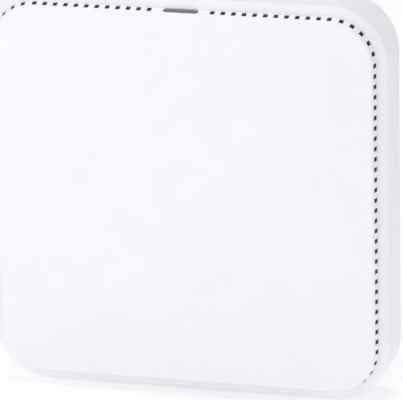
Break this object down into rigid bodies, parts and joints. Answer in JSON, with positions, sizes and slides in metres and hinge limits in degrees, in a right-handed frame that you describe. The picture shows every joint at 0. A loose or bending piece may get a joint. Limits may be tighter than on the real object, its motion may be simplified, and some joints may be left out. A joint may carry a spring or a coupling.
{
  "type": "ceiling access point",
  "caption": "Square wireless access point with rounded corners, a vented raised face and a light bar, hung on hooks of a sheet-steel mounting bracket.",
  "frame": {"origin": "middle of the casing, on the rear face of the mounting bracket, in the plane of the wall or ceiling", "axes": "+Y points out of the bracket's rear face into the wall or ceiling, so the face of the access point looks along -Y; +Z runs towards the light bar's side and is the way the unit lifts off its hooks; +X is to the right seen from the front"},
  "size_m": [0.202, 0.0312, 0.202],
  "materials": {
    "white_plastic": "satin moulded ABS, white",
    "base_plastic": "fine matte moulded plastic, cool white",
    "lens_plastic": "translucent grey light pipe, unlit",
    "gauze": "black woven dust gauze",
    "zinc_steel": "zinc-plated pressed sheet steel",
    "can_steel": "tinned sheet steel",
    "screw_steel": "nickel-plated screw",
    "aluminium": "plain sheet aluminium",
    "board": "green solder mask",
    "chip": "black epoxy package",
    "thermal_pad": "grey silicone pad",
    "brass": "stamped brass sheet",
    "black_plastic": "black moulded plastic",
    "lead_sheath": "grey coaxial sheath",
    "led": "clear and phosphor LED package",
    "label": "blank silver foil label"
  },
  "bodies": {
    "bracket": {"mounting_bracket": "zinc_steel"},
    "unit": {"front_plate": "white_plastic", "front_cover": "white_plastic", "rear_base": "base_plastic", "light_bar_lens": "lens_plastic", "vent_gauze": "gauze", "poe_port": "can_steel", "lan_port": "can_steel", "shield_can_1": "can_steel", "shield_can_2": "can_steel", "case_screw_1": "screw_steel", "case_screw_2": "screw_steel", "case_screw_3": "screw_steel", "case_screw_4": "screw_steel", "board_screw_1": "screw_steel", "board_screw_2": "screw_steel", "board_screw_3": "screw_steel", "board_screw_4": "screw_steel", "chassis_plate": "aluminium", "capacitor_1": "aluminium", "capacitor_2": "aluminium", "main_board": "board", "led_board": "board", "processor": "chip", "radio_chip_1": "chip", "radio_chip_2": "chip", "memory_chip_1": "chip", "memory_chip_2": "chip", "inductor": "chip", "thermal_pad_1": "thermal_pad", "thermal_pad_2": "thermal_pad", "thermal_pad_3": "thermal_pad", "antenna_1": "brass", "antenna_2": "brass", "antenna_3": "brass", "antenna_4": "brass", "power_jack": "black_plastic", "reset_switch": "black_plastic", "network_transformer_1": "black_plastic", "network_transformer_2": "black_plastic", "poe_transformer": "black_plastic", "antenna_lead_1": "lead_sheath", "antenna_lead_2": "lead_sheath", "antenna_lead_3": "lead_sheath", "antenna_lead_4": "lead_sheath", "led_1": "led", "led_2": "led", "led_3": "led", "blank_label": "label"},
    "reset": {"reset_button": "black_plastic"}
  },
  "joints": [
    {"name": "unit_lift", "type": "slide", "parent": "bracket", "child": "unit", "axis": [0, 0, 1], "range_m": [0, 0.007]},
    {"name": "reset_press", "type": "slide", "parent": "unit", "child": "reset", "axis": [0, 0, 1], "range_m": [0, 0.0006], "stiffness_N_per_m": 400}
  ]
}
